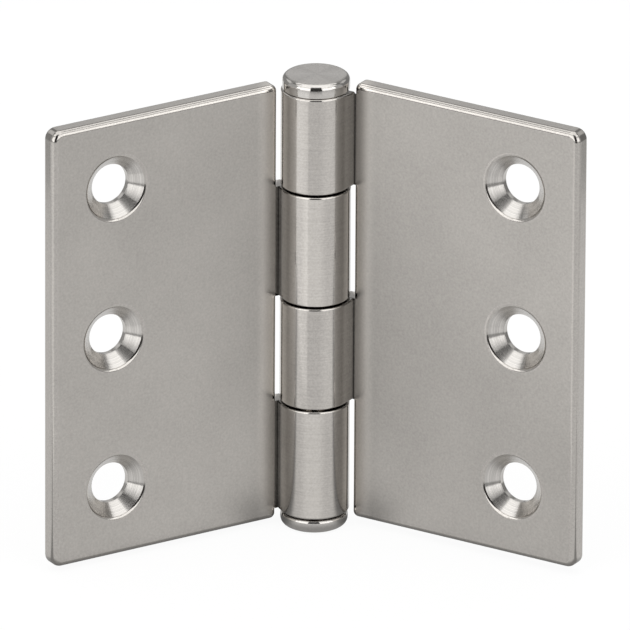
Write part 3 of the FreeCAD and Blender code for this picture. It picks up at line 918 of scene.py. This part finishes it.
class HINGE_OT_pin(bpy.types.Operator):
    """Turn the pin with its head, and the cap on its lower end"""

    bl_idname = "hinge.pin"
    bl_label = "Pin and Cap"

    def execute(self, context):
        sizes = context.scene.hinge_sizes
        material = turned_steel(context.scene.hinge_finish)
        head = CAP_HIGH.x
        rim = sizes.head_rim_round
        top_knuckle = PIN_HIGH.z - sizes.head_height
        cap_top = CAP_LOW.z + sizes.head_height
        socket = cap_top - sizes.socket_depth
        shaft = sizes.pin_radius
        sections = {
            "hinge_pin": [
                (0.0, socket, 0.0),
                (shaft, socket, rim),
                (shaft, top_knuckle, 0.0),
                (head, top_knuckle, rim),
                (head, PIN_HIGH.z, sizes.head_round),
                (0.0, PIN_HIGH.z, 0.0),
            ],
            "lower_pin_cap": [
                (0.0, CAP_LOW.z, 0.0),
                (head, CAP_LOW.z, sizes.cap_round),
                (head, cap_top, sizes.cap_rim_round),
                (shaft, cap_top, 0.0),
                (shaft, socket, 0.0),
                (0.0, socket, 0.0),
            ],
        }
        for node, section in sections.items():
            piece = turn_piece(f"{node}_turned", section, sizes.lathe_steps, material)
            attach(piece, "right_half")
            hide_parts(node)
        return {"FINISHED"}


def white_world():
    """Plain white all round, which the camera sees past the paper."""
    world = bpy.data.worlds.new("white")
    world.use_nodes = True
    background = world.node_tree.nodes["Background"]
    background.inputs["Color"].default_value = (1.0, 1.0, 1.0, 1.0)
    background.inputs["Strength"].default_value = 1.0
    bpy.context.scene.world = world


def stage_material(mesh, name):
    """The empty node tree of a new material on one of the studio's meshes."""
    material = bpy.data.materials.new(name)
    material.use_nodes = True
    material.node_tree.nodes.clear()
    mesh.materials.append(material)
    return material.node_tree


def panel(name, radius, azimuths, elevations, level):
    """One curved panel of the studio, which the steel mirrors and the camera doesn't see."""
    columns = max(1, round((azimuths[1] - azimuths[0]) / PANEL_FACET))
    rows = max(1, round((elevations[1] - elevations[0]) / PANEL_FACET))
    points = []
    for i in range(rows + 1):
        up = math.radians(elevations[0] + (elevations[1] - elevations[0]) * i / rows)
        for k in range(columns + 1):
            turn = math.radians(azimuths[0] + (azimuths[1] - azimuths[0]) * k / columns)
            spot = (math.cos(up) * math.sin(turn), -math.cos(up) * math.cos(turn), math.sin(up))
            points.append([radius * part for part in spot])
    wide = columns + 1
    faces = [
        (i * wide + k, (i + 1) * wide + k, (i + 1) * wide + k + 1, i * wide + k + 1)
        for i in range(rows)
        for k in range(columns)
    ]
    mesh = bpy.data.meshes.new(name)
    mesh.from_pydata(points, [], faces)
    tree = stage_material(mesh, name)
    glow = add(tree, "ShaderNodeEmission", {"Strength": level})
    add(tree, "ShaderNodeOutputMaterial", {"Surface": glow})
    piece = put(name, mesh)
    piece.visible_camera = False


def make_floor(studio):
    """A sheet of white paper under the hinge, which keeps its faint shadow and shows in the steel."""
    mesh = bpy.data.meshes.new("floor")
    mesh.from_pydata([(*corner, 0.0) for corner in PAPER], [], [(0, 1, 2, 3)])
    tree = stage_material(mesh, "white_paper")
    white = (*studio.backdrop, 1.0)
    path = add(tree, "ShaderNodeLightPath").outputs
    camera = path["Is Camera Ray"]
    mirrored = (path["Is Glossy Ray"], path["Is Transmission Ray"])
    in_steel = add(tree, "ShaderNodeMath", mirrored, operation="MAXIMUM")
    looked_at = add(tree, "ShaderNodeMath", (camera, in_steel), operation="MAXIMUM")
    # Close to the hinge the paper's glow in the steel is dimmed into a painted shadow, seen only in its
    # reflection.
    place = in_mm(tree)
    parts = add(tree, "ShaderNodeSeparateXYZ", (place,)).outputs
    across = add(tree, "ShaderNodeMath", (parts["X"],), operation="ABSOLUTE")
    out = add(tree, "ShaderNodeMath", (across, math.sin(LEAF_ANGLE)), operation="MULTIPLY")
    back = add(tree, "ShaderNodeMath", (parts["Y"], math.cos(LEAF_ANGLE)), operation="MULTIPLY")
    from_middle = add(tree, "ShaderNodeMath", (total(tree, out, back), SHEET_MIDDLE), operation="SUBTRACT")
    beside = add(tree, "ShaderNodeMath", (from_middle,), operation="ABSOLUTE")
    reach = add(tree, "ShaderNodeVectorMath", (place,), operation="LENGTH").outputs["Value"]
    by_leaf = add(tree, "ShaderNodeMapRange", (beside, *BESIDE_STEP), **SMOOTH)
    by_pin = add(tree, "ShaderNodeMapRange", (reach, *ROUND_PIN_STEP), **SMOOTH)
    clear = add(tree, "ShaderNodeMath", (by_leaf, by_pin), operation="MULTIPLY")
    strength = add(tree, "ShaderNodeMapRange", (camera, 0.0, 1.0, clear, 1.0), **SMOOTH)
    share = add(tree, "ShaderNodeMapRange", (camera, 0.0, 1.0, MIRRORED_GLOW, SEEN_GLOW), **SMOOTH)
    paper = add(tree, "ShaderNodeBsdfDiffuse", {"Color": white})
    glow = add(tree, "ShaderNodeEmission", {"Color": white, "Strength": strength})
    seen = add(tree, "ShaderNodeMixShader", (share, paper, glow))
    both = add(tree, "ShaderNodeMixShader", (looked_at, paper, seen))
    add(tree, "ShaderNodeOutputMaterial", {"Surface": both})
    put("floor", mesh)


def make_camera(studio):
    """The camera, aimed at the pin from a little above."""
    data = bpy.data.cameras.new("camera")
    data.sensor_width = SENSOR_WIDTH
    data.lens = studio.lens
    data.clip_end = ROOM_RADIUS + studio.distance
    camera = put("camera", data)
    back = Vector((0.0, -math.cos(studio.elevation), math.sin(studio.elevation)))
    place = Matrix.Translation(Vector((0.0, 0.0, studio.aim_height)) + back * studio.distance)
    look = (-back).to_track_quat("-Z", "Y").to_matrix().to_4x4()
    camera.matrix_world = place @ look @ Matrix.Rotation(studio.roll, 4, "Z")
    bpy.context.scene.camera = camera


class HINGE_OT_stage(bpy.types.Operator):
    """Set the pale studio, its light and the camera"""

    bl_idname = "hinge.stage"
    bl_label = "Stage"

    def execute(self, context):
        white_world()
        for i, (name, azimuths, elevations, level) in enumerate(PANELS):
            panel(name, ROOM_RADIUS * (1 - PANEL_GAP * i), azimuths, elevations, level)
        make_floor(context.scene.hinge_studio)
        make_camera(context.scene.hinge_studio)
        context.scene.view_settings.view_transform = "Standard"
        return {"FINISHED"}


class HINGE_PT_panel(bpy.types.Panel):
    """Sizes, finish and buttons of the hinge"""

    bl_idname = "HINGE_PT_panel"
    bl_label = "Heavy Butt Hinge"
    bl_space_type = "VIEW_3D"
    bl_region_type = "UI"
    bl_category = "Hinge"

    def draw(self, context):
        layout = self.layout
        for operator in STEPS:
            layout.operator(operator.bl_idname)
        for group in (context.scene.hinge_sizes, context.scene.hinge_finish, context.scene.hinge_studio):
            box = layout.box()
            for name in group.__annotations__:
                box.prop(group, name)


GROUPS = {"hinge_sizes": HingeSizes, "hinge_finish": HingeFinish, "hinge_studio": HingeStudio}
STEPS = (HINGE_OT_leaves, HINGE_OT_pin, HINGE_OT_stage)
CLASSES = (*GROUPS.values(), *STEPS, HINGE_PT_panel)


def register():
    for item in CLASSES:
        bpy.utils.register_class(item)
    for name, group in GROUPS.items():
        setattr(bpy.types.Scene, name, PointerProperty(type=group))


def unregister():
    for name in GROUPS:
        delattr(bpy.types.Scene, name)
    for item in reversed(CLASSES):
        bpy.utils.unregister_class(item)


def main():
    """Builds the hinge and its stage."""
    register()
    bpy.ops.hinge.leaves()
    bpy.ops.hinge.pin()
    bpy.ops.hinge.stage()


if __name__ == "__main__":
    main()
